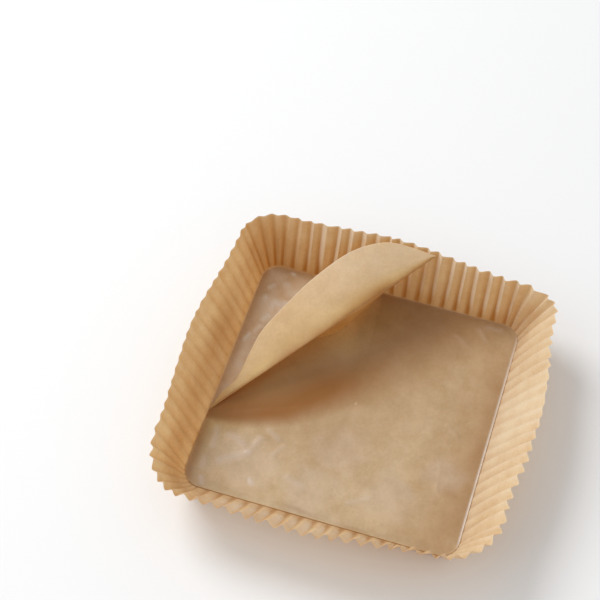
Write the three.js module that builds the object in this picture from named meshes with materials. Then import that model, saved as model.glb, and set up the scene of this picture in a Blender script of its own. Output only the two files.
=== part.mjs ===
// Square pleated parchment liner for an air fryer basket, with a loose inner sheet of the same paper.
// Millimetres, +Z up. The origin is the middle of the floor's underside, where the liner rests.
// +X is the right side, -Y the front. The inner sheet lies on the floor, and its back left corner is
// pushed inwards: the paper rises to a slanting crest, turns over it and ends in a free curved edge,
// which lies low by the left wall and high on the back one.
import * as THREE from 'three';

// The paper. One wall thickness serves the pressed tray and the sheet in it.
const paperThickness = 0.3;
const layerGap = 0.3;

// The floor: a square with rounded corners.
const floorHalfWidth = 80;
const floorHalfDepth = 80;
const floorCornerRadius = 11;

// The wall: how high it stands, how far its rim splays outwards at each corner, towards the side (x)
// and towards the front or back (y), and how far each side's middle bows out between its corners.
const wallHeight = 40;
const splay = {
  frontRight: { x: 20.5, y: 19.5 },
  backRight: { x: 18.5, y: 4.8 },
  backLeft: { x: 12.8, y: 9.5 },
  frontLeft: { x: 15.2, y: 27.5 },
};
const sideBow = 5.3;
const splayEarly = 0.8;
const wallRows = 3;

// The pleats: count round the wall, depth from ridge to groove at the rim, width of a fold's blunt edge.
// From floor to rim a pleat deepens as the height share to the power of its growth.
const pleatCount = 92;
const pleatDepth = 3;
const foldShare = 0.14;
const pleatGrowth = 0.5;

// Stretches of wall where handling has pressed the pleats flatter: the middle of each, as a share of
// the way round from the right side's front end, its half length in pleats, and the share pressed out.
const pressedLeft = { centre: 0.61, halfLength: 11, share: 0.6 };
const pressedRight = { centre: 0.085, halfLength: 4, share: 0.45 };

// The inner sheet: its clearance to the wall, and the corner that is pushed inwards. Its valley runs
// from the left edge to the back edge, the crest from the same start to a tip at the back rim.
const sheetClearance = 0.4;
const valleyStartY = -31;
const valleyEndX = -6;
const tipX = 22;
const tipBelowRim = 0.5;
const wallClearance = 0.6;
const crestRound = 2.5;
const crestArch = { right: 1.1, back: -4, up: 6 };
const valleyRise = 7;
const flapBulge = 1.5;
const softSpot = { centre: 0.69, halfLength: 0.2, push: 7, hollow: 4, round: 6 };

// The free edge between the start and the tip: across and back from the start, and its height as a
// share of the tip's.
const freeEdgePath = [
  { across: 4.3, back: 11.6, rise: 0.11 },
  { across: 10.1, back: 19.6, rise: 0.21 },
  { across: 13.1, back: 36.6, rise: 0.34 },
  { across: 15.9, back: 51.2, rise: 0.44 },
  { across: 26.1, back: 72.4, rise: 0.6 },
  { across: 36, back: 89.7, rise: 0.73 },
  { across: 53.7, back: 110.8, rise: 0.91 },
  { across: 71.3, back: 120, rise: 1 },
  { across: 86.3, back: 122, rise: 1 },
];

// The inner sheet's facets: columns from the start to the tip, rows across the fold, steps round a
// floor corner. Rounding the crest takes at most this share of the riser and of the flap.
const flapColumns = 36;
const sectionSteps = { riser: 3, crest: 2, flap: 6 };
const cornerSteps = 6;
const crestShareMost = 0.35;

// How far to each side the wall's slope is taken, in pleats round the rim and in height share.
const slopeReach = { pleats: 0.04, height: 0.01 };

// From a fold to the middle of the panel beside it, in pleats.
const quarterPleat = 1 / 4;
const pleatPhases = [-foldShare / 2, foldShare / 2, 0.5 - foldShare / 2, 0.5 + foldShare / 2];

// Height share t runs from 0 at the crease to 1 at the rim.
const splayShare = (t) => splayEarly * t + (1 - splayEarly) * t * t;
const pleatShare = (t) => t ** pleatGrowth;

function corner(signX, signY, { x, y }) {
  return {
    x: signX * (floorHalfWidth - floorCornerRadius),
    y: signY * (floorHalfDepth - floorCornerRadius),
    splayX: x,
    splayY: y,
  };
}

// The way round, anticlockwise from the front end of the right side: four sides and four corners,
// each with its length at the rim, so that the pleats are evenly spaced there.
function wallStretches() {
  const ring = [
    corner(1, -1, splay.frontRight),
    corner(1, 1, splay.backRight),
    corner(-1, 1, splay.backLeft),
    corner(-1, -1, splay.frontLeft),
  ];
  const stretches = [];
  ring.forEach((from, k) => {
    const to = ring[(k + 1) % 4];
    const angle = k * Math.PI / 2;
    stretches.push({ from, to, start: angle, turn: 0, length: Math.hypot(to.x - from.x, to.y - from.y) });
    const radius = floorCornerRadius + (to.splayX + to.splayY) / 2;
    stretches.push({ from: to, to, start: angle, turn: Math.PI / 2, length: radius * Math.PI / 2 });
  });
  return stretches;
}

const stretches = wallStretches();
const rimLength = stretches.reduce((sum, s) => sum + s.length, 0);

// Where a share of the way round lies: a point on the inner rectangle, the way out and the splays.
function station(share) {
  let along = THREE.MathUtils.euclideanModulo(share, 1) * rimLength;
  let k = 0;
  while (along > stretches[k].length && k < stretches.length - 1) {
    along -= stretches[k].length;
    k += 1;
  }
  const { from, to, start, turn, length } = stretches[k];
  const part = along / length;
  const angle = start + turn * part;
  return {
    x: from.x + (to.x - from.x) * part,
    y: from.y + (to.y - from.y) * part,
    outX: Math.cos(angle),
    outY: Math.sin(angle),
    splayX: THREE.MathUtils.lerp(from.splayX, to.splayX, part),
    splayY: THREE.MathUtils.lerp(from.splayY, to.splayY, part),
    bow: turn === 0 ? sideBow * Math.sin(Math.PI * part) ** 2 : 0,
  };
}

function pressed({ centre, halfLength, share }, at) {
  const away = Math.abs(THREE.MathUtils.euclideanModulo(at - centre + 0.5, 1) - 0.5) * pleatCount;
  return away < halfLength ? share * Math.cos(away / halfLength * Math.PI / 2) ** 2 : 0;
}

// A pleat's section is a zigzag with blunt folds: 1 on a ridge, -1 in a groove.
function zigzag(phase) {
  const fromRidge = Math.abs(THREE.MathUtils.euclideanModulo(phase + 0.5, 1) - 0.5);
  return THREE.MathUtils.clamp((quarterPleat - fromRidge) / (quarterPleat - foldShare / 2), -1, 1);
}

// The outer face of the wall.
function wallPoint(share, t) {
  const s = station(share);
  const flat = 1 - pressed(pressedLeft, share) - pressed(pressedRight, share);
  const pleat = pleatDepth / 2 * pleatShare(t) * flat * zigzag(share * pleatCount);
  const out = floorCornerRadius + pleat + s.bow * t;
  return new THREE.Vector3(
    s.x + (out + s.splayX * splayShare(t)) * s.outX,
    s.y + (out + s.splayY * splayShare(t)) * s.outY,
    wallHeight * t,
  );
}

// The outward normal of the wall at a point, from its neighbours.
function wallNormal(share, t) {
  const aside = slopeReach.pleats / pleatCount;
  const above = Math.min(1, t + slopeReach.height);
  const below = Math.max(0, t - slopeReach.height);
  const round = wallPoint(share + aside, t).sub(wallPoint(share - aside, t));
  const rise = wallPoint(share, above).sub(wallPoint(share, below));
  return round.cross(rise).normalize();
}

function innerWallPoint(share, t) {
  if (t > 0) return wallPoint(share, t).addScaledVector(wallNormal(share, t), -paperThickness);
  const s = station(share);
  return wallPoint(share, 0).add(new THREE.Vector3(-s.outX, -s.outY, 1).multiplyScalar(paperThickness));
}

function solid(name, points, triangles, material) {
  const geometry = new THREE.BufferGeometry();
  geometry.setAttribute('position', new THREE.Float32BufferAttribute(points.flatMap((p) => p.toArray()), 3));
  geometry.setIndex(triangles.flat());
  geometry.computeVertexNormals();
  const mesh = new THREE.Mesh(geometry, material);
  mesh.name = name;
  return mesh;
}

// The tray: floor and pleated wall pressed from one disc of paper.
function pleatedTray() {
  const shares = [];
  for (let pleat = 0; pleat < pleatCount; pleat += 1) {
    pleatPhases.forEach((phase) => shares.push((pleat + phase) / pleatCount));
  }
  const columns = shares.length;
  const points = [];
  const skins = [wallPoint, innerWallPoint];
  skins.forEach((face) => {
    for (let row = 0; row <= wallRows; row += 1) shares.forEach((share) => points.push(face(share, row / wallRows)));
  });
  const at = (skin, row, column) => (skin * (wallRows + 1) + row) * columns + column % columns;
  const triangles = [];
  for (let column = 0; column < columns; column += 1) {
    for (let row = 0; row < wallRows; row += 1) {
      const outer = [at(0, row, column), at(0, row, column + 1), at(0, row + 1, column + 1), at(0, row + 1, column)];
      const inner = [at(1, row, column), at(1, row, column + 1), at(1, row + 1, column + 1), at(1, row + 1, column)];
      triangles.push([outer[0], outer[1], outer[2]], [outer[0], outer[2], outer[3]]);
      triangles.push([inner[0], inner[2], inner[1]], [inner[0], inner[3], inner[2]]);
    }
    const edge = [at(0, wallRows, column), at(0, wallRows, column + 1)];
    const inside = [at(1, wallRows, column), at(1, wallRows, column + 1)];
    triangles.push([edge[0], edge[1], inside[1]], [edge[0], inside[1], inside[0]]);
  }
  const underFloor = points.push(new THREE.Vector3(0, 0, 0)) - 1;
  const onFloor = points.push(new THREE.Vector3(0, 0, paperThickness)) - 1;
  for (let column = 0; column < columns; column += 1) {
    triangles.push([underFloor, at(0, 0, column + 1), at(0, 0, column)]);
    triangles.push([onFloor, at(1, 0, column), at(1, 0, column + 1)]);
  }
  return solid('pleated_tray', points, triangles, trayPaper);
}

// The inner sheet's top face on the floor.
const sheetTop = paperThickness + layerGap + paperThickness;
const sheetHalfWidth = floorHalfWidth - paperThickness - sheetClearance;
const sheetHalfDepth = floorHalfDepth - paperThickness - sheetClearance;
const sheetCornerRadius = floorCornerRadius - sheetClearance;

// How far back the sheet may reach at a place without touching the back wall's inner ridges.
function backLimit(x, z) {
  const inner = floorHalfWidth - floorCornerRadius;
  const part = THREE.MathUtils.clamp((inner - x) / (2 * inner), 0, 1);
  const t = THREE.MathUtils.clamp(z / wallHeight, 0, 1);
  const lean = THREE.MathUtils.lerp(splay.backRight.y, splay.backLeft.y, part) * splayShare(t);
  const bow = sideBow * Math.sin(Math.PI * part) ** 2 * t;
  const ridge = pleatDepth / 2 * pleatShare(t) + paperThickness + wallClearance;
  return Math.min(floorHalfDepth + lean + bow - ridge, sheetHalfDepth + z);
}

function keepOffWall(point) {
  point.y = Math.min(point.y, backLimit(point.x, point.z));
  return point;
}

const start = new THREE.Vector3(-sheetHalfWidth, valleyStartY, sheetTop);
const valleyEnd = new THREE.Vector3(valleyEndX, sheetHalfDepth, sheetTop);
const tipHeight = wallHeight - tipBelowRim;
const tip = new THREE.Vector3(tipX, backLimit(tipX, tipHeight), tipHeight);
const freeEdge = new THREE.CatmullRomCurve3([
  start.clone(),
  ...freeEdgePath.map(({ across, back, rise }) => keepOffWall(new THREE.Vector3(
    start.x + across,
    start.y + back,
    sheetTop + rise * (tipHeight - sheetTop),
  ))),
  tip.clone(),
], false, 'centripetal');

function bump(x, centre, halfWidth) {
  const away = Math.abs(x - centre) / halfWidth;
  return away < 1 ? Math.cos(away * Math.PI / 2) ** 2 : 0;
}

const towardsFront = new THREE.Vector3(valleyEnd.y - start.y, start.x - valleyEnd.x, 0).normalize();

// A section across the folded corner, u from 0 at the start to 1 at the tip: the riser goes from the
// valley up to the crest, the flap from the crest on to the free edge. In one soft spot the riser
// comes forwards as a hollow ramp instead of hanging under the crest.
function section(u) {
  const soft = bump(u, softSpot.centre, softSpot.halfLength);
  const arch = Math.sin(Math.PI * u);
  const valley = start.clone().lerp(valleyEnd, u).addScaledVector(towardsFront, softSpot.push * soft);
  valley.z += valleyRise * arch;
  const archWay = new THREE.Vector3(crestArch.right, crestArch.back, crestArch.up);
  const crest = keepOffWall(start.clone().lerp(tip, u).addScaledVector(archWay, arch));
  const edge = freeEdge.getPointAt(u);
  const hollow = valley.clone().lerp(crest, 0.5);
  hollow.z -= softSpot.hollow * soft;
  const crown = crest.clone().lerp(edge, 0.5);
  crown.z += flapBulge * arch;
  const riser = new THREE.QuadraticBezierCurve3(valley, hollow, crest);
  const flap = new THREE.QuadraticBezierCurve3(crest, crown, edge);
  const round = crestRound + (softSpot.round - crestRound) * soft;
  const riserStop = 1 - Math.min(crestShareMost, round / Math.max(crest.distanceTo(valley), round));
  const flapStart = Math.min(crestShareMost, round / Math.max(crest.distanceTo(edge), round));
  const over = new THREE.QuadraticBezierCurve3(riser.getPoint(riserStop), crest, flap.getPoint(flapStart));
  const points = [];
  for (let k = 0; k < sectionSteps.riser; k += 1) points.push(riser.getPoint(k / sectionSteps.riser * riserStop));
  for (let k = 0; k < sectionSteps.crest; k += 1) points.push(over.getPoint(k / sectionSteps.crest));
  for (let k = 0; k <= sectionSteps.flap; k += 1) {
    points.push(flap.getPoint(flapStart + (1 - flapStart) * k / sectionSteps.flap));
  }
  return points.map(keepOffWall);
}

// The flat part's outline from the fold's end clockwise to the fold's start.
function sheetOutline() {
  const x = sheetHalfWidth - sheetCornerRadius;
  const y = sheetHalfDepth - sheetCornerRadius;
  const outline = [];
  [[1, 1, Math.PI / 2], [1, -1, 0], [-1, -1, -Math.PI / 2]].forEach(([signX, signY, start]) => {
    for (let step = 0; step <= cornerSteps; step += 1) {
      const angle = start - step / cornerSteps * Math.PI / 2;
      outline.push(new THREE.Vector3(
        signX * x + sheetCornerRadius * Math.cos(angle),
        signY * y + sheetCornerRadius * Math.sin(angle),
        sheetTop,
      ));
    }
  });
  return outline;
}

// Rows of vertices across the folded corner. The first column is the one point where it starts, and
// in the last the whole flap has shrunk to the tip, with only the riser's edge left.
function cornerColumns(addVertex) {
  const rowCount = sectionSteps.riser + sectionSteps.crest + sectionSteps.flap + 1;
  const crestRow = sectionSteps.riser + 1;
  const columns = [new Array(rowCount).fill(addVertex(start.clone()))];
  for (let column = 1; column < flapColumns; column += 1) {
    columns.push(section(column / flapColumns).map((point) => addVertex(point)));
  }
  const last = [];
  for (let row = 0; row < rowCount; row += 1) {
    const point = keepOffWall(valleyEnd.clone().lerp(tip, row / crestRow));
    last.push(row <= crestRow ? addVertex(point) : last[crestRow]);
  }
  columns.push(last);
  return columns;
}

function innerSheet() {
  const tops = [];
  const triangles = [];
  const addVertex = (point) => tops.push(point) - 1;
  const columns = cornerColumns(addVertex);
  for (let column = 0; column < flapColumns; column += 1) {
    const near = columns[column];
    const far = columns[column + 1];
    for (let row = 0; row < near.length - 1; row += 1) {
      if (far[row] !== far[row + 1]) triangles.push([near[row], far[row], far[row + 1]]);
      if (near[row] !== near[row + 1]) triangles.push([near[row], far[row + 1], near[row + 1]]);
    }
  }
  const contour = [...columns.map((rows) => rows[0]), ...sheetOutline().map(addVertex)];
  const hub = addVertex(new THREE.Vector3(0, 0, sheetTop));
  contour.forEach((k, i) => triangles.push([hub, contour[(i + 1) % contour.length], k]));
  const undersides = undersideOf(tops, triangles);
  undersides[columns[0][0]].set(start.x, start.y, start.z - paperThickness);
  return solid('inner_sheet', [...tops, ...undersides], closeSheet(triangles, tops.length), sheetPaper);
}

// Every vertex moved one paper's thickness against the mean of its triangles' normals.
function undersideOf(tops, triangles) {
  const normals = tops.map(() => new THREE.Vector3());
  triangles.forEach((corners) => {
    const [a, b, c] = corners.map((k) => tops[k]);
    const normal = b.clone().sub(a).cross(c.clone().sub(a)).normalize();
    corners.forEach((k, i) => {
      const [p, q] = [corners[(i + 1) % 3], corners[(i + 2) % 3]].map((m) => tops[m].clone().sub(tops[k]));
      normals[k].addScaledVector(normal, p.angleTo(q));
    });
  });
  return tops.map((top, k) => top.clone().addScaledVector(normals[k].normalize(), -paperThickness));
}

// Gives a sheet its underside and its cut edge: an edge of only one triangle is on the boundary.
function closeSheet(triangles, offset) {
  const closed = [...triangles];
  const used = new Set(triangles.flatMap(([a, b, c]) => [`${a},${b}`, `${b},${c}`, `${c},${a}`]));
  triangles.forEach(([a, b, c]) => {
    closed.push([a + offset, c + offset, b + offset]);
    [[a, b], [b, c], [c, a]].forEach(([from, to]) => {
      if (used.has(`${to},${from}`)) return;
      closed.push([to, from, from + offset], [to, from + offset, to + offset]);
    });
  });
  return closed;
}

const trayPaper = new THREE.MeshStandardMaterial({ color: 0xc9a171, roughness: 0.62, metalness: 0 });
const sheetPaper = new THREE.MeshStandardMaterial({ color: 0xcdaa7b, roughness: 0.5, metalness: 0 });

const liner = new THREE.Group();
liner.add(pleatedTray(), innerSheet());

export default liner;
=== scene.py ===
"""Square pleated parchment liner with a loose inner sheet, lifted at its back left corner.

The part's own frame: the origin is the middle of the floor's underside, +X is the right side, -Y the
front and +Z up. The papers are worked out in millimetres and become metres when a mesh is made. Both
are drawn again here, with finer folds, creases and swells than the solids have.
"""

import math

import bpy
import numpy as np
from mathutils import Matrix, Vector, noise


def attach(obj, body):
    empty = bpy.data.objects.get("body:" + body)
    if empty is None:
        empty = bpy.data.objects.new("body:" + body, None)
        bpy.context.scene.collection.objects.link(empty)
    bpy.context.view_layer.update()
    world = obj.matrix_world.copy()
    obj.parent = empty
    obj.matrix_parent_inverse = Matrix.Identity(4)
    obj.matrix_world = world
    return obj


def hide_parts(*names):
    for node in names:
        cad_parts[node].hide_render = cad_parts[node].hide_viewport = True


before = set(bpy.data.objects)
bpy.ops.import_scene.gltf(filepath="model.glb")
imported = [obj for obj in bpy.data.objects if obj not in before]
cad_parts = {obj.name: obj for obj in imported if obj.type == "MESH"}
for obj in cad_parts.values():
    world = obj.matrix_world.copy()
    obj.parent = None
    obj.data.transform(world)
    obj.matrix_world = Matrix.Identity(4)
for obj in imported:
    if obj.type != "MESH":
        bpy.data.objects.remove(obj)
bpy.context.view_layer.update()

MM = 0.001
# Keeps the noise of different seeds apart.
SEED_SPACING = 17.31

# The liner's own sizes. A corner's splay is how far its rim stands out, towards the side and towards
# the front or back. The bow is how much further the middle of a side stands out.
PAPER = 0.3
FLOOR_HALF = 80.0
CORNER_RADIUS = 11.0
CORNER_INNER = FLOOR_HALF - CORNER_RADIUS
WALL_HEIGHT = 40.0
SPLAY_FRONT_RIGHT = (20.5, 19.5)
SPLAY_BACK_RIGHT = (18.5, 4.8)
SPLAY_BACK_LEFT = (12.8, 9.5)
SPLAY_FRONT_LEFT = (15.2, 27.5)
SIDE_BOW = 5.3
PLEATS = 92
PLEAT_DEPTH = 3.0
PLEAT_GROWTH = 0.45

# The share of a splay that grows evenly with the height; the rest grows with its square. The front
# wall has more of it. The last pair says how squarely a stretch must face the front to count.
SPLAY_EARLY = 0.8
FRONT_EARLY = 1.1
FACES_FRONT = (0.3, 0.9)

# How finely the tray is drawn. The rings on its floor crowd towards the wall.
WALL_ROWS = 26
FLOOR_RINGS = 46
FLOOR_CROWDING = 1.5

# Samples across a pleat, from one outer fold to the next. The inner fold is at a half.
WAVE_STEPS = (0.0, 0.04, 0.14, 0.25, 0.36, 0.46, 0.5, 0.54, 0.64, 0.75, 0.86, 0.96)

# Stretches of wall pressed flatter: the middle as a share of the way round, half the length in
# pleats, and how much of the depth is lost.
PRESSED = ((0.61, 14.0, 0.5), (0.105, 5.0, 0.75))

# By share of the way round from the right side's front end: how much of a pleat's depth it has at
# the rim, and how much of a pleat its inward panel takes up, because handling pushed them over.
RIM_DEPTH = (
    (0.0, 1.0), (0.06, 1.0), (0.12, 0.75), (0.2, 0.65), (0.245, 0.95),
    (0.29, 0.7), (0.36, 0.55), (0.42, 0.42), (0.56, 0.4), (0.66, 0.5),
    (0.7, 0.85), (0.745, 1.1), (0.8, 1.2), (0.93, 1.3), (1.0, 1.0),
)
RIM_DEPTH_FROM = (0.4, 1.0)
PUSHED_OVER = (
    (0.0, 0.66), (0.3, 0.68), (0.42, 0.62), (0.5, 0.5), (0.66, 0.42),
    (0.745, 0.32), (0.79, 0.45), (0.9, 0.5), (1.0, 0.66),
)

# How uneven the wall is: sideways drift in pleats, low down and added at the rim; depth as a share;
# lean, rim height and how far the foot is drawn in, in millimetres.
DRIFT = 0.22
RIM_DRIFT = 0.12
UNEVEN_DEPTH = 0.3
LEAN = 0.9
UNEVEN_RIM = 0.35
RIM_DROP = 0.3
FOOT_PINCH = 0.25
FOOT_PINCH_POWER = 6
# How fast each of these changes on the way round.
DRIFT_DETAIL = 11
RIM_DRIFT_DETAIL = 14
DEPTH_DETAIL = 13
LEAN_DETAIL = 4
RIM_DETAIL = 12
# How rounded a fold is at the floor, and how much more so at the rim.
FOLD_ROUND = 0.15
RIM_ROUND = 0.45


def smooth(a, b, x):
    """0 at a and beyond it, 1 at b and beyond it, with a soft passage between them."""
    t = min(1.0, max(0.0, (x - a) / (b - a)))
    return t * t * (3 - 2 * t)


def bump(x, centre, half_width):
    """1 at the centre, falling softly to 0 at the half width."""
    away = abs(x - centre) / half_width
    return math.cos(away * math.pi / 2) ** 2 if away < 1 else 0.0


def wobble(seed, x, y):
    """Smooth noise from -1 to 1, the same on every run."""
    return noise.noise(Vector((x, y, seed * SEED_SPACING)))


def ring_wobble(seed, share, detail):
    """Noise that closes on itself once round the wall; more detail makes it change faster."""
    ring = 2 * math.pi * share
    return wobble(seed, math.cos(ring) * detail, math.sin(ring) * detail)


def along_table(table, share):
    return float(np.interp(share % 1.0, *zip(*table)))


def splay_share(t, early=SPLAY_EARLY):
    return early * t + (1 - early) * t * t


def ring_corner(sx, sy, splay):
    return (sx * CORNER_INNER, sy * CORNER_INNER, *splay)


def wall_stretches():
    """Four sides and four corners in turn, from the right side's front end.

    Each is its start, its end, the angle it faces, how far it turns and its length.
    """
    corners = [
        ring_corner(1, -1, SPLAY_FRONT_RIGHT),
        ring_corner(1, 1, SPLAY_BACK_RIGHT),
        ring_corner(-1, 1, SPLAY_BACK_LEFT),
        ring_corner(-1, -1, SPLAY_FRONT_LEFT),
    ]
    stretches = []
    for k, start in enumerate(corners):
        end = corners[(k + 1) % 4]
        angle = k * math.pi / 2
        side_length = math.hypot(end[0] - start[0], end[1] - start[1])
        stretches.append((start, end, angle, 0.0, side_length))
        radius = CORNER_RADIUS + (end[2] + end[3]) / 2
        stretches.append((end, end, angle, math.pi / 2, radius * math.pi / 2))
    return stretches


STRETCHES = wall_stretches()
RIM_LENGTH = sum(s[4] for s in STRETCHES)


def station(share):
    """At a share of the way round: a place inside the wall, the way out, the splay and the bow."""
    along = (share % 1.0) * RIM_LENGTH
    k = 0
    while along > STRETCHES[k][4] and k < len(STRETCHES) - 1:
        along -= STRETCHES[k][4]
        k += 1
    start, end, angle, turn, length = STRETCHES[k]
    part = along / length
    angle += turn * part
    bow = SIDE_BOW * math.sin(math.pi * part) ** 2 if turn == 0 else 0.0
    x, y, splay_x, splay_y = (a + (b - a) * part for a, b in zip(start, end))
    return x, y, math.cos(angle), math.sin(angle), splay_x, splay_y, bow


def pressed_at(share):
    total = 0.0
    for centre, half_width, loss in PRESSED:
        pleats_away = ((share - centre + 0.5) % 1.0 - 0.5) * PLEATS
        total += loss * bump(pleats_away, 0.0, half_width)
    return total


def fold_wave(step, roundness):
    """1 on an outer fold, -1 on an inner one: flat panels with rounded folds."""
    flat = 1 - 4 * abs((step + 0.5) % 1.0 - 0.5)
    return (1 - roundness) * flat + roundness * math.sin(math.pi / 2 * flat)


def pleat_columns():
    """Where each column of the wall starts at the floor, and its place in its pleat."""
    columns = []
    for pleat in range(PLEATS):
        inward = along_table(PUSHED_OVER, pleat / PLEATS)
        for step in WAVE_STEPS:
            part = 2 * step * inward if step < 0.5 else inward + (2 * step - 1) * (1 - inward)
            columns.append(((pleat + part) / PLEATS, step))
    return columns


def pleat_drift(share, t):
    """How far a pleat wanders sideways, in pleats."""
    drift = DRIFT * ring_wobble(3, share, DRIFT_DETAIL)
    drift += RIM_DRIFT * t * ring_wobble(4, share, RIM_DRIFT_DETAIL)
    return drift * min(1.0, t * 2)


def wall_point(share, step, t):
    """A place on the wall by its column, its place in its pleat, and t from 0 (floor) to 1 (rim)."""
    x, y, way_x, way_y, splay_x, splay_y, bow = station(share + pleat_drift(share, t) / PLEATS)
    depth = PLEAT_DEPTH / 2 * t ** PLEAT_GROWTH * (1 - pressed_at(share))
    depth *= 1 + UNEVEN_DEPTH * ring_wobble(5, share, DEPTH_DETAIL)
    depth *= 1 - (1 - along_table(RIM_DEPTH, share)) * smooth(*RIM_DEPTH_FROM, t)
    early = SPLAY_EARLY + (FRONT_EARLY - SPLAY_EARLY) * smooth(*FACES_FRONT, -way_y)
    splayed = splay_share(t, early)
    out = CORNER_RADIUS + depth * fold_wave(step, FOLD_ROUND + RIM_ROUND * t * t) + bow * t
    out += LEAN * t * ring_wobble(6, share, LEAN_DETAIL)
    out -= FOOT_PINCH * (1 - t) ** FOOT_PINCH_POWER
    height = WALL_HEIGHT * t + UNEVEN_RIM * t * ring_wobble(7, share, RIM_DETAIL) - RIM_DROP * t
    out_x = (out + splay_x * splayed) * way_x
    out_y = (out + splay_y * splayed) * way_y
    return np.array([x + out_x, y + out_y, max(height, 0.0)])


# Worn creases: from, to, half width, height, and the strength of a painted glint along them, which
# also makes them shinier. The first list is on the loose sheet, the second on the tray's floor, which
# the folded corner leaves bare.
SHEET_CREASES = (
    ((-72, -36), (-69, -55), 2.0, 0.5, 0.6), ((-73, -58), (-71, -70), 1.6, 0.4, 0.5),
    ((-71, -71), (-67, -79), 1.2, 0.5, 1.5), ((-44, -64), (-40, -71), 1.0, 0.4, 1.1),
    ((-66, -62), (-47, -48), 2.6, 0.4, 0.45), ((-50, -53), (-44, -36), 2.2, 0.4, 0.4),
    ((-44, -31), (-33, -39), 1.6, 0.3, 0.35), ((-66, -41), (-50, -47), 2.4, 0.4, 0.5),
    ((-36, -50), (-30, -38), 1.6, 0.3, 0.3), ((-26, -58), (-10, -63), 2.2, 0.3, 0.3),
    ((54, 74), (64, 64), 1.6, 0.6, 0.2), ((58, 75), (71, 75), 1.5, 0.4, 0.4),
    ((42, 66), (54, 58), 1.8, 0.5, 0.1), ((56, -20), (60, -44), 1.8, 0.35, 0.0),
    ((52, 4), (64, -6), 1.5, 0.3, 0.1), ((12, -66), (26, -56), 1.6, 0.3, 0.3),
)
CORNER_CREASES = (
    ((-74, 61), (-69, 68), 1.3, 0.4, 1.6), ((-64, 78), (-59, 76), 1.1, 0.4, 1.5),
    ((-68, 56), (-61, 51), 1.5, 0.4, 1.2), ((-63, 55), (-53, 55), 1.5, 0.4, 1.2),
    ((-67, 45), (-66, 55), 1.5, 0.35, 1.0), ((-70, 37), (-66, 46), 1.6, 0.4, 1.3),
    ((-72, 28), (-68, 37), 1.5, 0.4, 1.2), ((-63, 47), (-58, 50), 1.3, 0.35, 1.0),
    ((-74, 58), (-71, 53), 1.3, 0.35, 1.1), ((-76, 20), (-73, 30), 1.3, 0.3, 1.0),
    ((-58, 64), (-48, 66), 1.6, 0.3, 0.8), ((-66, 66), (-60, 70), 1.6, 0.3, 0.7),
)
CREASE_FADE = 3.0

# Warm strokes on the loose sheet, mostly along its edges; the last, along the left edge, is painted
# shade in the crease there: from, to, half width and strength.
WARM_STROKES = (
    ((-26, -75), (4, -78), 1.4, 0.35), ((2, -78), (36, -79), 1.3, 0.25), ((58, -82), (80, -44), 6.0, 0.14),
    ((66, -34), (82, 6), 6.0, 0.12), ((58, -34), (76, -46), 4.0, 0.2), ((77, -70), (77, 60), 6.0, 0.2),
    ((-79, -22), (-77, -92), 2.6, 0.45),
)
WARM_STROKE_FADE = 25.0

# Both kinds of stroke wander aside by so much, in waves of about this length. They end at so many
# half widths and a margin, where nothing of them is left to see.
STROKE_WANDER = 0.6
STROKE_WAVE = 6
STROKE_WIDTHS = 3
STROKE_MARGIN = 1


def stroke(x, y, start, end, width, fade):
    """1 on a slightly wavy line, fading to 0 beside it and at its ends."""
    dx = end[0] - start[0]
    dy = end[1] - start[1]
    length = math.hypot(dx, dy)
    along = ((x - start[0]) * dx + (y - start[1]) * dy) / length
    aside = ((x - start[0]) * dy - (y - start[1]) * dx) / length
    if not (0 < along < length and abs(aside) < STROKE_WIDTHS * width + STROKE_MARGIN):
        return 0.0
    aside += STROKE_WANDER * wobble(21, along / STROKE_WAVE, start[0])
    ends = min(fade, length / 2)
    return smooth(0, ends, along) * smooth(0, ends, length - along) * math.exp(-(aside / width) ** 2)


def creases_at(x, y, creases):
    """The creases' height, and the strength of their painted glints, at a place."""
    height = 0.0
    pale = 0.0
    for start, end, width, rise, glint in creases:
        share = stroke(x, y, start, end, width, CREASE_FADE)
        height += rise * share
        pale += glint * share
    return height, pale


def warm_strokes_at(x, y):
    return sum(strength * stroke(x, y, start, end, width, WARM_STROKE_FADE)
               for start, end, width, strength in WARM_STROKES)


class Skin:
    """The points, faces and tints of one paper, gathered before its mesh is made."""

    def __init__(self, *tints):
        self.points = []
        self.faces = []
        self.tints = {name: [] for name in tints}

    def add(self, point, *tints):
        """Adds a point with its tints, 0 for those not given, and returns its number."""
        self.points.append(point)
        for k, values in enumerate(self.tints.values()):
            values.append(tints[k] if k < len(tints) else 0.0)
        return len(self.points) - 1

    def piece(self, name, material):
        mesh = bpy.data.meshes.new(name)
        mesh.from_pydata([tuple(p * MM) for p in np.array(self.points)], [], self.faces)
        mesh.validate()
        for key, values in self.tints.items():
            layer = mesh.attributes.new(key, "FLOAT", "POINT")
            layer.data.foreach_set("value", np.asarray(values, dtype=np.float32))
        mesh.polygons.foreach_set("use_smooth", [True] * len(mesh.polygons))
        mesh.update()
        mesh.materials.append(material)
        piece = bpy.data.objects.new(name, mesh)
        bpy.context.scene.collection.objects.link(piece)
        return piece


def column_pairs(columns):
    """Each column with the next one, once round."""
    return [(c, (c + 1) % len(columns)) for c in range(len(columns))]


# Tints run from 0 to 1, and a little over for the brightest painted glints on creases. On the tray's
# floor: warmth everywhere, painted shade by the wall, cloudy patches of painted sheen further in, and
# a painted highlight along the left crease.
FLOOR_WARM = 0.14
CREASE_WARM = 0.4
CREASE_WARM_WIDTH = 7.0
CLOUD_BASE = 0.3
CLOUD_SWING = 0.7
CLOUD_SIZE = 7
CLOUD_BORDER = (1.0, 8.0)
FLOOR_PALE_MOST = 1.3
CREASE_HIGHLIGHT = 0.8
CREASE_HIGHLIGHT_FRONT = -25

# Where a wall point counts as on the left, right or back side, and as in a back corner.
LEFT_SIDE = (-50.0, -82.0)
RIGHT_SIDE = (60.0, 84.0)
BACK_SIDE = (60.0, 82.0)
BACK_CORNER_X = 74.0
BACK_CORNER_WIDTH = 16.0
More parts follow.
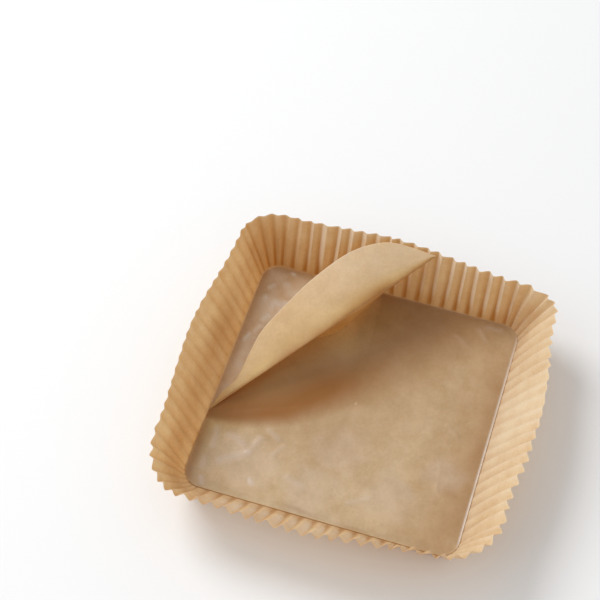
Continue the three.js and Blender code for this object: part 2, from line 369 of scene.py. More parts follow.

# Warmth of the wall: a base tone everywhere; painted shade in its grooves, at its foot, on the back
# side and in its back corners; a blotchy band of painted glow, light coming through, on the left side;
# and less of it all on the right side, which faces the light. Grooves and foot differ on the sides
# that are named.
WALL_WARM = 0.12
GROOVE_FROM = -0.2
GROOVE_WARM = 0.45
GROOVE_LEFT = 0.2
GROOVE_BACK = 0.15
GROOVE_PRESSED = 0.6
GROOVE_RIM = 0.6
FOOT_WARM = 0.2
FOOT_LEFT = 0.12
FOOT_WARM_POWER = 3
BACK_WARM = 0.22
BACK_CORNER_WARM = 0.3
BACK_RIM = 0.5
LEFT_GLOW = 0.4
BAND_MIDDLE = 0.42
BAND_HALF = 0.4
BLOTCH_BASE = 0.7
BLOTCH_SWING = 0.6
BLOTCH_SIZE = 18
RIGHT_COOLER = 0.45

# Painted light on the wall: on the right side, which faces the light, more where it is creased; and
# painted highlights on the narrow flanks of pleats away from the left side and on the inner folds near
# the rim.
RIGHT_LIGHT = 0.22
RIGHT_CREASED = 0.45
INNER_FOLD_SHARE = 0.55
PRESSED_SHARE = 0.45
FLANK_STEPS = ((0.5, 0.56), (1.0, 0.92))
FLANK_X = (-70.0, -40.0)
FLANK_RISE = (0.1, 0.45)
FLANK_HIGHLIGHT = 1.2
RIM_HIGHLIGHT = 0.2
RIM_HIGHLIGHT_FROM = (0.6, 1.0)


def tray_floor_tints(p):
    """Painted shade by the wall, painted sheen and glints further in, which are shinier too."""
    inside = min(FLOOR_HALF - abs(p[0]), FLOOR_HALF - abs(p[1]))
    cloud = CLOUD_BASE + CLOUD_SWING * wobble(9, p[0] / CLOUD_SIZE, p[1] / CLOUD_SIZE)
    floor_sheen = smooth(*CLOUD_BORDER, inside) * max(0.0, cloud)
    warm = FLOOR_WARM + CREASE_WARM * smooth(CREASE_WARM_WIDTH, 0.0, inside)
    return warm, min(FLOOR_PALE_MOST, floor_sheen + creases_at(p[0], p[1], CORNER_CREASES)[1])


def wall_shade_and_glow(p, share, fold, t):
    """Painted shade in the grooves, at the foot and on the back side, painted glow in a band on the left
    side, and less on the right side.
    """
    left = smooth(*LEFT_SIDE, p[0])
    right = smooth(*RIGHT_SIDE, p[0])
    back = smooth(*BACK_SIDE, p[1])
    corner = back * (1 - smooth(0.0, BACK_CORNER_WIDTH, BACK_CORNER_X - abs(p[0])))
    groove = smooth(GROOVE_FROM, 1.0, fold) * (1 - GROOVE_PRESSED * pressed_at(share))
    grooved = (GROOVE_WARM - GROOVE_LEFT * left + GROOVE_BACK * back) * groove * (1 - GROOVE_RIM * t)
    warm = WALL_WARM + grooved + (FOOT_WARM - FOOT_LEFT * left) * (1 - t) ** FOOT_WARM_POWER
    warm += (BACK_WARM * back + BACK_CORNER_WARM * corner) * (1 - BACK_RIM * t)
    blotch = BLOTCH_BASE + BLOTCH_SWING * wobble(8, p[0] / BLOTCH_SIZE, p[1] / BLOTCH_SIZE)
    # A band of painted glow, light coming through the paper, on the left side.
    warm += left * (1 - back) * LEFT_GLOW * bump(t, BAND_MIDDLE, BAND_HALF) * blotch
    # Less painted shade on the right side, which faces the light.
    return min(1.0, warm * (1 - RIGHT_COOLER * right))


def wall_painted_light(p, share, step, fold, t):
    """Painted light on the right side, and painted highlights on narrow flanks and on the inner folds near
    the rim.
    """
    right = smooth(*RIGHT_SIDE, p[0])
    narrow = smooth(*FLANK_STEPS[0], step) * smooth(*FLANK_STEPS[1], step)
    flank = narrow * smooth(*FLANK_X, p[0]) * (1 - right)
    creased = INNER_FOLD_SHARE * smooth(0.0, 1.0, -fold) + PRESSED_SHARE * pressed_at(share)
    pale = right * (RIGHT_LIGHT + RIGHT_CREASED * creased)
    pale += flank * FLANK_HIGHLIGHT * smooth(*FLANK_RISE, t)
    pale += RIM_HIGHLIGHT * smooth(*RIM_HIGHLIGHT_FROM, t) * (fold < 0)
    return min(1.0, pale)


def add_tray_floor_point(skin, share, step, part):
    """A point at a part of the way from the floor's middle to the wall's foot."""
    p = wall_point(share, step, 0.0) * part
    p[2] = PAPER + creases_at(p[0], p[1], CORNER_CREASES)[0]
    # A painted highlight along the left crease, from near the fold's start to the back.
    highlighted = part == 1 and p[0] < 1 - FLOOR_HALF and p[1] > CREASE_HIGHLIGHT_FRONT
    return skin.add(p, CREASE_HIGHLIGHT if highlighted else 0.0, *tray_floor_tints(p))


def add_tray_wall_point(skin, share, step, t):
    p = wall_point(share, step, t)
    p[2] += PAPER * (1 - t)
    fold = fold_wave(step, 0.5)
    # A painted highlight along the rim's cut edge.
    edge_highlight = 1.0 if t == 1 else 0.0
    return skin.add(p, edge_highlight, wall_shade_and_glow(p, share, fold, t), wall_painted_light(p, share, step, fold, t))


def build_tray(material):
    # Its tints: edge a painted highlight, amber painted shade and glow, pale painted light and sheen.
    skin = Skin("edge", "amber", "pale")
    stations = pleat_columns()
    middle = np.array([0.0, 0.0, PAPER])
    hub = skin.add(middle, 0.0, *tray_floor_tints(middle))
    rows = []
    for ring in range(1, FLOOR_RINGS + 1):
        part = 1 - (1 - ring / FLOOR_RINGS) ** FLOOR_CROWDING
        rows.append([add_tray_floor_point(skin, share, step, part) for share, step in stations])
    for row in range(1, WALL_ROWS + 1):
        t = row / WALL_ROWS
        rows.append([add_tray_wall_point(skin, share, step, t) for share, step in stations])
    for c, d in column_pairs(stations):
        skin.faces.append([hub, rows[0][c], rows[0][d]])
    for near, far in zip(rows, rows[1:]):
        for c, d in column_pairs(stations):
            skin.faces.append([near[c], far[c], far[d], near[d]])
    return skin.piece("tray_skin", material)


# The inner sheet: its top face over the table, its outline, and its folded corner. The corner folds
# up along a valley from START to VALLEY_END and over a crest from START to the tip.
SHEET_TOP = 0.9
SHEET_HALF = 79.8
SHEET_RADIUS = 10.8
START = np.array([-SHEET_HALF, -31.0, SHEET_TOP])
VALLEY_END = np.array([-6.0, SHEET_HALF, SHEET_TOP])
TIP_HEIGHT = 39.5
TIP_X = 22.0
WALL_CLEARANCE = 0.5
CREST_ROUND = 1.4
CREST_ARCH = np.array([1.1, -4.0, 6.0])
VALLEY_RISE = 7.0
FLAP_BULGE = 1.5
# The crest's turn takes at most this share of the riser and of the flap.
TURN_MOST = 0.35
# Where the crest is soft: its middle and half length as shares of it, how far the valley is pushed
# to the front there, how hollow the riser is and how round the crest.
SOFT_CENTRE = 0.69
SOFT_HALF = 0.2
SOFT_PUSH = 7.0
SOFT_HOLLOW = 4.0
SOFT_ROUND = 4.0
# How finely the sheet is drawn. The rings on its flat part crowd towards its outline.
COLUMNS = 170
CONTOUR_STEP = 1.05
CORNER_STEPS = 12
RISER_ROWS = 14
CREST_ROWS = 6
FLAP_ROWS = 34
ROW_COUNT = RISER_ROWS + CREST_ROWS + FLAP_ROWS + 1
CREST_ROW = RISER_ROWS + CREST_ROWS // 2
SHEET_RINGS = 96
SHEET_CROWDING = 1.25
# The sheet's cut edge turns up a little, and more against the left wall in front of the fold. The
# span is in Y: where the curl begins, is full, is full to, and ends.
LIP = 0.3
LIP_WIDTH = 1.3
CURL = 1.5
CURL_WIDTH = 7.0
CURL_SPAN = (-76.0, -68.0, -44.0, -36.0)
# The flat part's swells: height, length of a wave, lowest height, and the width over which they fade
# towards the edges. Towards the valley they fade over one part in so many of the way from the middle.
SWELL = 0.9
SWELL_WAVE = 46
RIPPLE = 0.25
RIPPLE_WAVE = 15
SWELL_LOWEST = -0.25
SWELL_FADE = 14
VALLEY_FADE_PART = 6
# The free edge: across and back from the start, and the height as a share of the tip's.
EDGE_PATH = (
    (4.3, 11.6, 0.11), (10.1, 19.6, 0.21), (13.1, 36.6, 0.34),
    (15.9, 51.2, 0.44), (26.1, 72.4, 0.6), (36.0, 89.7, 0.73),
    (53.7, 110.8, 0.91), (71.3, 120.0, 1.0), (86.3, 122.0, 1.0),
)


def back_limit(x, z):
    """How far back the sheet may reach before it meets the pleats of the back wall."""
    part = min(1.0, max(0.0, (CORNER_INNER - x) / (2 * CORNER_INNER)))
    t = min(1.0, max(0.0, z / WALL_HEIGHT))
    lean = (SPLAY_BACK_RIGHT[1] + (SPLAY_BACK_LEFT[1] - SPLAY_BACK_RIGHT[1]) * part) * splay_share(t)
    bow = SIDE_BOW * math.sin(math.pi * part) ** 2 * t
    ridge = PLEAT_DEPTH / 2 * t ** PLEAT_GROWTH + WALL_CLEARANCE
    return min(FLOOR_HALF + lean + bow - ridge, SHEET_HALF + z)


def keep_off_wall(p):
    p = np.array(p)
    p[1] = min(p[1], back_limit(p[0], p[2]))
    return p


def free_edge_point(across, back, rise):
    return keep_off_wall((START[0] + across, START[1] + back, SHEET_TOP + rise * (TIP_HEIGHT - SHEET_TOP)))


TIP = np.array([TIP_X, back_limit(TIP_X, TIP_HEIGHT), TIP_HEIGHT])
FREE_EDGE = [START] + [free_edge_point(*place) for place in EDGE_PATH] + [TIP]


def smooth_curve(points, samples=60):
    """A smooth curve through the points, without loops where they are unevenly spaced."""
    ext = [2 * points[0] - points[1]] + list(points) + [2 * points[-1] - points[-2]]
    out = []
    for p0, p1, p2, p3 in zip(ext, ext[1:], ext[2:], ext[3:]):
        t0 = 0.0
        t1 = t0 + np.linalg.norm(p1 - p0) ** 0.5
        t2 = t1 + np.linalg.norm(p2 - p1) ** 0.5
        t3 = t2 + np.linalg.norm(p3 - p2) ** 0.5
        for i in range(samples):
            t = t1 + (t2 - t1) * i / samples
            a1 = (t1 - t) / (t1 - t0) * p0 + (t - t0) / (t1 - t0) * p1
            a2 = (t2 - t) / (t2 - t1) * p1 + (t - t1) / (t2 - t1) * p2
            a3 = (t3 - t) / (t3 - t2) * p2 + (t - t2) / (t3 - t2) * p3
            b1 = (t2 - t) / (t2 - t0) * a1 + (t - t0) / (t2 - t0) * a2
            b2 = (t3 - t) / (t3 - t1) * a2 + (t - t1) / (t3 - t1) * a3
            out.append((t2 - t) / (t2 - t1) * b1 + (t - t1) / (t2 - t1) * b2)
    out.append(points[-1])
    return np.array(out)


EDGE_CURVE = smooth_curve(FREE_EDGE)
EDGE_LENGTHS = np.concatenate([[0.0], np.cumsum(np.linalg.norm(np.diff(EDGE_CURVE, axis=0), axis=1))])
EDGE_LENGTHS /= EDGE_LENGTHS[-1]


def edge_point(u):
    """The free edge at a share of its length."""
    return np.array([np.interp(u, EDGE_LENGTHS, EDGE_CURVE[:, k]) for k in range(3)])


TOWARDS_FRONT = np.array([VALLEY_END[1] - START[1], START[0] - VALLEY_END[0], 0.0])
TOWARDS_FRONT /= np.linalg.norm(TOWARDS_FRONT)


def quadratic(a, b, c, t):
    """A curve from a to c that is pulled towards b."""
    return a * (1 - t) ** 2 + b * 2 * t * (1 - t) + c * t * t


def turn_share(turn, from_crest):
    return min(TURN_MOST, turn / max(np.linalg.norm(from_crest), turn))


def section(u):
    """Across the folded corner: up the riser, round the crest and out along the flap."""
    soft = bump(u, SOFT_CENTRE, SOFT_HALF)
    arch = math.sin(math.pi * u)
    valley = START + (VALLEY_END - START) * u + TOWARDS_FRONT * SOFT_PUSH * soft
    valley[2] += VALLEY_RISE * arch
    crest = keep_off_wall(START + (TIP - START) * u + CREST_ARCH * arch)
    edge = edge_point(u)
    hollow = (valley + crest) / 2
    hollow[2] -= SOFT_HOLLOW * soft
    crown = (crest + edge) / 2
    crown[2] += FLAP_BULGE * arch
    turn = CREST_ROUND + (SOFT_ROUND - CREST_ROUND) * soft
    stop = 1 - turn_share(turn, crest - valley)
    begin = turn_share(turn, crest - edge)
    below = quadratic(valley, hollow, crest, stop)
    beyond = quadratic(crest, crown, edge, begin)
    points = [quadratic(valley, hollow, crest, k / RISER_ROWS * stop) for k in range(RISER_ROWS)]
    points += [quadratic(below, crest, beyond, k / CREST_ROWS) for k in range(CREST_ROWS)]
    for k in range(FLAP_ROWS + 1):
        points.append(quadratic(crest, crown, edge, begin + (1 - begin) * k / FLAP_ROWS))
    return [keep_off_wall(p) for p in points]


def edge_lift(x, y, to_edge):
    """How far the sheet's cut edge turns up."""
    curl = CURL * smooth(CURL_WIDTH, 0.0, SHEET_HALF + x)
    curl *= smooth(CURL_SPAN[0], CURL_SPAN[1], y) * smooth(CURL_SPAN[3], CURL_SPAN[2], y)
    return max(curl, LIP * smooth(LIP_WIDTH, 0.0, to_edge))


def sheet_swell(x, y):
    """How far the loose sheet stands off its even height."""
    inside = smooth(0, SWELL_FADE, SHEET_HALF - abs(x)) * smooth(0, SWELL_FADE, SHEET_HALF - abs(y))
    gentle = SWELL * wobble(11, x / SWELL_WAVE, y / SWELL_WAVE)
    gentle += RIPPLE * wobble(12, x / RIPPLE_WAVE, y / RIPPLE_WAVE)
    return inside * max(SWELL_LOWEST, gentle + creases_at(x, y, SHEET_CREASES)[0])


# Patches of painted sheen on the loose sheet, each its middle and its radius. Their borders are soft
# and ragged, and their tint is weak.
SHEEN_PATCHES = ((-62, -52, 20), (-44, -58, 20), (-8, -64, 24), (34, -52, 22), (0, -34, 20), (60, -30, 16))
PATCH_BORDER = (0.3, 1.0)
PATCH_RAGGED = 0.35
PATCH_GRAIN = 9
PATCH_SHARE = 0.25

# A painted highlight along the right edge, which fades out by the front corner.
EDGE_HIGHLIGHT_X = (SHEET_HALF - 1.8, SHEET_HALF - 0.6)
EDGE_HIGHLIGHT_Y = (-78.0, -66.0)

# Warmth of the loose sheet: everywhere, and growing towards the right side.
SHEET_WARM = 0.08
SIDE_WARM = 0.3
SIDE_WARM_X = (20.0, 70.0)

# The fold's painted shadow. The line on the floor that the crest covers as seen from the front, and its
# way.
SHADE_START = (-79.3, -29.0)
SHADE_WAY = (0.570, 0.822)
# By distance along that line: how far the shade reaches from it, and how soft its border is.
SHADE_REACH = ((-6, 4), (4, 15), (14, 24), (30, 36), (58, 45), (85, 53), (107, 60), (140, 66))
SHADE_SOFTNESS = ((-6, 4), (14, 8), (32, 11), (58, 17), (85, 25), (107, 32))
# Past its border the shade goes on weakly: how strongly, how far, and where along the line it starts.
SHADE_TAIL = 0.3
SHADE_TAIL_WIDTH = 75.0
SHADE_TAIL_FROM = (-10.0, 40.0)
# Towards the line's far end the shade thins.
SHADE_FAR = (60.0, 120.0)
SHADE_FAR_LOSS = 0.35
# Where the crest is soft, painted light coming through it lifts the painted shadow: its middle and its
# radius.
SHADE_GAP = (-19.0, 40.0, 17.0)
SHADE_GAP_LOSS = 0.6
# Close to the line a golden glow, light coming through the flap, is painted: where it is full, its
# width, how the width grows past a distance along the line, where it ends and how golden it is.
GLOW_FULL = 2.0
GLOW_WIDTH = 34.0
GLOW_GROWTH = 0.15
GLOW_GROWS_FROM = 50
GLOW_END = (160.0, 110.0)
GLOW_GOLD = 0.8
# The painted golden glow takes away this much of the painted shadow, and less near the line's start.
GLOW_LOSS = 0.6
GLOW_LOSS_LEAST = 0.35
GLOW_LOSS_FROM = (10.0, 50.0)

# The flap, painted as lit through from behind: warmth everywhere, an amber glow by the crest and
# warmth in blotches; a golden glow, and what it loses towards the free edge; and the airy part near the
# tip, painted lighter, by its place along and across, with what it loses and gains.
FLAP_WARM = 0.2
FLAP_CREST_WARM = 0.4
FLAP_CREST_WIDTH = 0.25
FLAP_BLOTCH = 0.25
FLAP_BLOTCH_SIZE = 16
FLAP_BLOTCH_ACROSS = (0.7, 0.1)
FLAP_GOLD = 0.85
FLAP_GOLD_LOSS = 0.25
FLAP_GOLD_ACROSS = (0.2, 0.9)
AIRY_ALONG = (0.35, 0.85)
AIRY_ACROSS = (0.05, 0.4)
AIRY_WARM_LOSS = 0.6
AIRY_GOLD_LOSS = 0.35
AIRY_PALE = 0.25

# The painted highlight along the crest's line, and the painted highlight and painted shade at the fold's
# two ends.
CREST_HIGHLIGHT = 0.5
START_TINTS = (0.6, 0.5)
TIP_TINTS = (0.0, 0.6)


def sheen_patch_at(x, y):
    ragged = PATCH_RAGGED * wobble(22, x / PATCH_GRAIN, y / PATCH_GRAIN)
    total = 0.0
    for px, py, radius in SHEEN_PATCHES:
        away = math.hypot(x - px, y - py) / radius + ragged
        total = max(total, 1 - smooth(*PATCH_BORDER, away))
    return total


def fold_shade(x, y):
    """How warm with painted shadow, and how golden with painted glow through the fold, the sheet is beside
    the folded corner: 0 out on the open floor.
    """
    aside = (x - SHADE_START[0]) * SHADE_WAY[1] - (y - SHADE_START[1]) * SHADE_WAY[0]
    along = (x - SHADE_START[0]) * SHADE_WAY[0] + (y - SHADE_START[1]) * SHADE_WAY[1]
    reach = np.interp(along, *zip(*SHADE_REACH))
    soft = np.interp(along, *zip(*SHADE_SOFTNESS))
    lit = math.exp(-(math.hypot(x - SHADE_GAP[0], y - SHADE_GAP[1]) / SHADE_GAP[2]) ** 2)
    tail = SHADE_TAIL * smooth(SHADE_TAIL_WIDTH, 0.0, aside - reach) * smooth(*SHADE_TAIL_FROM, along)
    shade = float(max(1 - smooth(reach - soft, reach + soft, aside), tail))
    glow_width = GLOW_WIDTH + GLOW_GROWTH * max(0.0, along - GLOW_GROWS_FROM)
    close = smooth(glow_width, GLOW_FULL, aside) * smooth(*GLOW_END, along)
    loss_share = GLOW_LOSS_LEAST + (1 - GLOW_LOSS_LEAST) * smooth(*GLOW_LOSS_FROM, along)
    shade *= 1 - SHADE_FAR_LOSS * smooth(*SHADE_FAR, along)
    shade *= 1 - GLOW_LOSS * close * loss_share
    shade *= 1 - SHADE_GAP_LOSS * lit
    return shade, GLOW_GOLD * max(close, lit)


def flap_tints(u, across, p):
    """The flap's painted light: amber and golden glow by the crest, paler towards its tip and its free
    edge.
    """
    airy = smooth(*AIRY_ALONG, u) * smooth(*AIRY_ACROSS, across)
    warm = FLAP_WARM + FLAP_CREST_WARM * smooth(FLAP_CREST_WIDTH, 0.0, across)
    blotch = FLAP_BLOTCH * wobble(13, p[0] / FLAP_BLOTCH_SIZE, p[1] / FLAP_BLOTCH_SIZE)
    warm += blotch * smooth(*FLAP_BLOTCH_ACROSS, across)
    gold = FLAP_GOLD - FLAP_GOLD_LOSS * smooth(*FLAP_GOLD_ACROSS, across)
    amber = max(0.0, warm * (1 - AIRY_WARM_LOSS * airy))
    return amber, AIRY_PALE * airy, gold * (1 - AIRY_GOLD_LOSS * airy)


def add_folded_corner(skin):
    """Columns across the folded corner, from the fold's start to the tip."""
    columns = [[skin.add(START, *START_TINTS)] * ROW_COUNT]
    for c in range(1, COLUMNS):
        u = c / COLUMNS
        crest_highlight = CREST_HIGHLIGHT * (1 - bump(u, SOFT_CENTRE, SOFT_HALF))
        column = []
        for r, p in enumerate(section(u)):
            across = (r - CREST_ROW) / (ROW_COUNT - 1 - CREST_ROW)
            if across < 0:
                # The riser has the same painted shadow and golden glow as the floor beside it.
                shade, gold = fold_shade(p[0], p[1])
                column.append(skin.add(p, 0.0, SHEET_WARM + shade, 0.0, gold))
            else:
                # Painted highlights along the crest's line and along the free edge.
                highlight = crest_highlight if across == 0 else 1.0 if across == 1 else 0.0
                column.append(skin.add(p, highlight, *flap_tints(u, across, p)))
        columns.append(column)
    last = []
    for r in range(CREST_ROW + 1):
        p = keep_off_wall(VALLEY_END + (TIP - VALLEY_END) * (r / CREST_ROW))
        last.append(skin.add(p, *TIP_TINTS))
    columns.append(last + [last[-1]] * (ROW_COUNT - len(last)))
    for near, far in zip(columns, columns[1:]):
        for r in range(ROW_COUNT - 1):
            quad = [near[r], far[r], far[r + 1], near[r + 1]]
            quad = [k for i, k in enumerate(quad) if k != quad[i - 1]]
            if len(quad) > 2:
                skin.faces.append(quad)
    return columns


def add_flat_outline(skin, valley_end):
    """The flat part's outline from the valley's end, by the three flat corners, to its start."""
    inner = SHEET_HALF - SHEET_RADIUS
    path = [skin.points[valley_end]]
    for sx, sy, first in ((1, 1, math.pi / 2), (1, -1, 0.0), (-1, -1, -math.pi / 2)):
        for k in range(CORNER_STEPS + 1):
            a = first - k / CORNER_STEPS * math.pi / 2
            x = sx * inner + SHEET_RADIUS * math.cos(a)
            y = sy * inner + SHEET_RADIUS * math.sin(a)
            path.append(np.array([x, y, SHEET_TOP]))
    path.append(START)
    places = []
    for a, b in zip(path, path[1:]):
        steps = max(1, int(np.linalg.norm(b - a) / CONTOUR_STEP))
        places += [a + (b - a) * k / steps for k in range(1, steps + 1)]
    return [skin.add(p + np.array([0.0, 0.0, edge_lift(p[0], p[1], 0.0)])) for p in places[:-1]]


def flat_tints(p):
    """The flat part's warmth, painted sheen and highlights, and gold, from its marks and the fold's
    painted shadow.
    """
    shade, gold = fold_shade(p[0], p[1])
    light = min(1.0, PATCH_SHARE * sheen_patch_at(p[0], p[1]) + creases_at(p[0], p[1], SHEET_CREASES)[1])
    light = max(light, smooth(*EDGE_HIGHLIGHT_X, p[0]) * smooth(*EDGE_HIGHLIGHT_Y, p[1]))
    side = SIDE_WARM * smooth(*SIDE_WARM_X, p[0]) + warm_strokes_at(p[0], p[1])
    warm = max(shade, side) + SHEET_WARM
    return min(1.0, warm), light * (1 - min(1.0, shade + gold)), gold


def add_flat_part(skin, valley, outline):
    """Rings from the sheet's middle out to the valley and the outline."""
    contour = valley + outline
    hub = skin.add(np.array([0.0, 0.0, SHEET_TOP + sheet_swell(0, 0)]))
    rings = []
    for ring in range(1, SHEET_RINGS):
        part = 1 - (1 - ring / SHEET_RINGS) ** SHEET_CROWDING
        row = []
        for i, k in enumerate(contour):
            p = skin.points[k] * part
            if i < len(valley):
                rise = (skin.points[k][2] - SHEET_TOP) * part * smooth(0.0, 1.0, part)
                from_fold = min(1.0, (1 - part) * VALLEY_FADE_PART)
                p[2] = SHEET_TOP + rise + sheet_swell(p[0], p[1]) * smooth(0.0, 1.0, from_fold)
            else:
                p[2] = SHEET_TOP + sheet_swell(p[0], p[1])
                p[2] += edge_lift(p[0], p[1], SHEET_HALF * (1 - part))
            row.append(skin.add(p, 0.0, *flat_tints(p)))
        rings.append(row)
    rings.append(contour)
    for i, j in column_pairs(contour):
        skin.faces.append([hub, rings[0][j], rings[0][i]])
        for near, far in zip(rings, rings[1:]):
            skin.faces.append([near[i], near[j], far[j], far[i]])


def build_sheet(material):
    # Its tints: edge a painted highlight, amber painted shade and warm strokes, pale painted sheen, golden
    # painted glow.
    skin = Skin("edge", "amber", "pale", "golden")
    columns = add_folded_corner(skin)
    valley = [column[0] for column in columns]
    outline = add_flat_outline(skin, valley[-1])
    add_flat_part(skin, valley, outline)
    return skin.piece("sheet_skin", material)


# Patterns in the paper, each as scale and detail; a larger scale is finer.
CLOUDS = (95.0, 5.0)
CLOUD_ROUGHNESS = 0.6
FIBRES = (620.0, 3.0)
BROAD = (38.0, 2.0)
VEIL = (75.0, 4.0)
CRUMPLES = (58.0, 3.0)
CRUMPLE_TWIST = 0.3
# Their shares in the mottling, and where in its range deep paper turns pale.
CLOUD_SHARE = 0.62
FIBRE_SHARE = 0.3
BROAD_SHARE = 0.42
DEEP_AT = 0.53
PALE_AT = 0.80
# The veil makes the painted sheen and glints patchy: what it adds and the least it leaves.
VEIL_SWING = 0.8
VEIL_LEAST = 0.45
# How strongly the painted highlight shows, and how much the painted sheen lowers the roughness.
EDGE_HIGHLIGHT_SHARE = 0.7
SHINE_GAIN = -0.25
# Relief as strength and depth in metres.
CRUMPLE_RELIEF = (0.18, 0.002)
FIBRE_RELIEF = (0.35, 0.0003)

# Tints the attributes mix in: amber for painted shade, painted glow and warm strokes; golden for the
# painted glow of light through the paper; a pale painted highlight.
AMBER_TINT = (0.48, 0.22, 0.055, 1)
GOLDEN_TINT = (0.92, 0.79, 0.46, 1)
EDGE_HIGHLIGHT_TINT = (0.97, 0.86, 0.62, 1)


def fill(node, inputs):
    """Each input gets another node's output or a plain value."""
    for key, value in inputs.items():
        if isinstance(value, bpy.types.NodeSocket):
            node.id_data.links.new(value, node.inputs[key])
        else:
            node.inputs[key].default_value = value


def pattern(tree, place, scale, detail, roughness=0.5, twist=0.0):
    node = tree.nodes.new("ShaderNodeTexNoise")
    fill(node, {"Vector": place, "Scale": scale, "Detail": detail})
    fill(node, {"Roughness": roughness, "Distortion": twist})
    return node.outputs["Fac"]


def tint_of(tree, name):
    node = tree.nodes.new("ShaderNodeAttribute")
    node.attribute_name = name
    return node.outputs["Fac"]


def times(tree, value, factor):
    node = tree.nodes.new("ShaderNodeMath")
    node.operation = "MULTIPLY"
    fill(node, {0: value, 1: factor})
    return node.outputs[0]


def times_plus(tree, value, factor, extra):
    node = tree.nodes.new("ShaderNodeMath")
    node.operation = "MULTIPLY_ADD"
    fill(node, {0: value, 1: factor, 2: extra})
    return node.outputs[0]


def mixed(tree, factor, below, above, blend="MIX"):
    node = tree.nodes.new("ShaderNodeMix")
    node.data_type = "RGBA"
    node.blend_type = blend
    fill(node, {"Factor": factor, "A": below, "B": above})
    return node.outputs["Result"]


def relief(tree, height, strength, depth):
    node = tree.nodes.new("ShaderNodeBump")
    fill(node, {"Height": height, "Strength": strength, "Distance": depth})
    return node


def mottled_colour(tree, mottling, deep, pale):
    ramp = tree.nodes.new("ShaderNodeValToRGB")
    fill(ramp, {"Fac": mottling})
    low, high = ramp.color_ramp.elements
    low.position = DEEP_AT
    low.color = (*deep, 1)
    high.position = PALE_AT
    high.color = (*pale, 1)
    return ramp.outputs["Color"]


def parchment(name, pale, deep, amber, haze, gloss, glow):
    """Greaseproof paper: cloudy fibres, a weak shine and light that comes through it.

    Pale and deep are its mottled colours, amber is the light through it, haze the colour of its painted
    sheen and glints, gloss its roughness, and glow the share of light that comes through.
    """
    material = bpy.data.materials.new(name)
    material.use_nodes = True
    tree = material.node_tree
    tree.nodes.clear()
    place = tree.nodes.new("ShaderNodeTexCoord").outputs["Object"]

    fibres = times(tree, pattern(tree, place, *FIBRES), FIBRE_SHARE)
    grain = times_plus(tree, pattern(tree, place, *CLOUDS, CLOUD_ROUGHNESS), CLOUD_SHARE, fibres)
    mottling = times_plus(tree, pattern(tree, place, *BROAD), BROAD_SHARE, grain)

    veil = times_plus(tree, pattern(tree, place, *VEIL), VEIL_SWING, VEIL_LEAST)
    painted_sheen = times(tree, tint_of(tree, "pale"), veil)
    # The painted highlight along cut edges, the crest and the left crease.
    edge_highlight = times(tree, tint_of(tree, "edge"), EDGE_HIGHLIGHT_SHARE)

    colour = mottled_colour(tree, mottling, deep, pale)
    # Amber carries painted shade and glow and the warm strokes; golden the painted glow through the paper.
    colour = mixed(tree, tint_of(tree, "amber"), colour, AMBER_TINT)
    toned = mixed(tree, tint_of(tree, "golden"), colour, GOLDEN_TINT, "MULTIPLY")
    # Painted sheen and glints.
    hazed = mixed(tree, painted_sheen, toned, (*haze, 1))
    surface_colour = mixed(tree, edge_highlight, hazed, EDGE_HIGHLIGHT_TINT)

    crumpled = pattern(tree, place, *CRUMPLES, twist=CRUMPLE_TWIST)
    crumples = relief(tree, crumpled, *CRUMPLE_RELIEF)
    surface = relief(tree, grain, *FIBRE_RELIEF)
    fill(surface, {"Normal": crumples.outputs["Normal"]})

    face = tree.nodes.new("ShaderNodeBsdfPrincipled")
    fill(face, {
        "Base Color": surface_colour,
        "Roughness": times_plus(tree, painted_sheen, SHINE_GAIN, gloss),
        "Normal": surface.outputs["Normal"],
    })
    through = tree.nodes.new("ShaderNodeBsdfTranslucent")
    fill(through, {"Color": mixed(tree, 1.0, toned, (*amber, 1), "MULTIPLY")})
    both = tree.nodes.new("ShaderNodeMixShader")
    fill(both, {"Fac": glow, 1: face.outputs[0], 2: through.outputs[0]})
    out = tree.nodes.new("ShaderNodeOutputMaterial")
    fill(out, {"Surface": both.outputs[0]})
    return material


def tray_parchment():
    return parchment(
        "tray_parchment",
        pale=(0.96, 0.82, 0.56),
        deep=(0.84, 0.63, 0.37),
        amber=(0.80, 0.52, 0.22),
        haze=(0.99, 0.92, 0.76),
        gloss=0.42,
        glow=0.38,
    )


def sheet_parchment():
    return parchment(
        "sheet_parchment",
        pale=(0.92, 0.80, 0.53),
        deep=(0.79, 0.64, 0.38),
        amber=(0.88, 0.64, 0.28),
        haze=(0.98, 0.91, 0.80),
        gloss=0.38,
        glow=0.47,
    )


tray = build_tray(tray_parchment())
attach(tray, "root")
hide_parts("pleated_tray")

sheet = build_sheet(sheet_parchment())
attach(sheet, "root")
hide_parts("inner_sheet")

# The surface it stands on, plain and pale, just under the part's own floor. In metres.
SURFACE_SIZE = 6.0
SURFACE_HEIGHT = -0.0002
SURFACE_COLOUR = (0.86, 0.86, 0.86, 1)
SURFACE_ROUGHNESS = 0.7


def pale_floor():
    material = bpy.data.materials.new("pale_floor")
    material.use_nodes = True
    shader = material.node_tree.nodes["Principled BSDF"]
    fill(shader, {"Base Color": SURFACE_COLOUR, "Roughness": SURFACE_ROUGHNESS})
    return material


bpy.ops.mesh.primitive_plane_add(size=SURFACE_SIZE, location=(0, 0, SURFACE_HEIGHT))
floor = bpy.context.object
floor.name = "floor"
floor.data.materials.append(pale_floor())

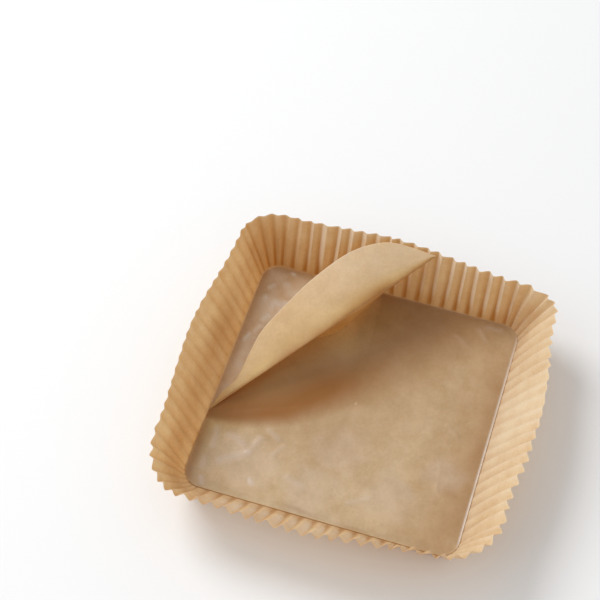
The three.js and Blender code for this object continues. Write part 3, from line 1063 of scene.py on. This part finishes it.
# Even light from all round, a soft lamp from the back left and a weak, broad one from the front
# left. A lamp's place is its angle from the back towards the right, its angle over the table and
# its distance in metres.
SKY_COLOUR = (0.98, 0.99, 1.0, 1)
SKY_STRENGTH = 0.60


def light_sky():
    world = bpy.data.worlds.new("studio")
    world.use_nodes = True
    fill(world.node_tree.nodes["Background"], {"Color": SKY_COLOUR, "Strength": SKY_STRENGTH})
    bpy.context.scene.world = world


def lamp(name, azimuth, elevation, distance, size, power):
    data = bpy.data.lights.new(name, "AREA")
    data.shape = "DISK"
    data.size = size
    data.energy = power
    piece = bpy.data.objects.new(name, data)
    a = math.radians(azimuth)
    e = math.radians(elevation)
    level = distance * math.cos(e)
    piece.location = (level * math.sin(a), level * math.cos(a), distance * math.sin(e))
    piece.rotation_euler = (-piece.location).to_track_quat("-Z", "Y").to_euler()
    bpy.context.scene.collection.objects.link(piece)


light_sky()
lamp("key", azimuth=-66, elevation=46, distance=2.6, size=1.5, power=40.0)
lamp("fill", azimuth=-122, elevation=40, distance=2.6, size=2.4, power=13.0)

# The camera, at the photograph's angle: angles in degrees, the point on the table it looks at, its
# distance from there in metres, and its lens and sensor in millimetres.
YAW = math.radians(-15.672)
PITCH = math.radians(55.504)
ROLL = math.radians(1.891)
TARGET = Vector((-0.05241, 0.05990, 0.0))
DISTANCE = 1.06867
LENS = 106.3
SENSOR = 36.0


def add_camera():
    forward = Vector((math.sin(YAW) * math.cos(PITCH), math.cos(YAW) * math.cos(PITCH), -math.sin(PITCH)))
    right = Vector((math.cos(YAW), -math.sin(YAW), 0))
    up = right.cross(forward)
    side = right * math.cos(ROLL) + up * math.sin(ROLL)
    top = up * math.cos(ROLL) - right * math.sin(ROLL)
    place = TARGET - forward * DISTANCE
    data = bpy.data.cameras.new("camera")
    data.sensor_width = SENSOR
    data.lens = LENS
    camera = bpy.data.objects.new("camera", data)
    camera.matrix_world = Matrix((
        (side.x, top.x, -forward.x, place.x),
        (side.y, top.y, -forward.y, place.y),
        (side.z, top.z, -forward.z, place.z),
        (0, 0, 0, 1),
    ))
    bpy.context.scene.collection.objects.link(camera)
    bpy.context.scene.camera = camera


add_camera()
bpy.context.scene.view_settings.view_transform = "Standard"
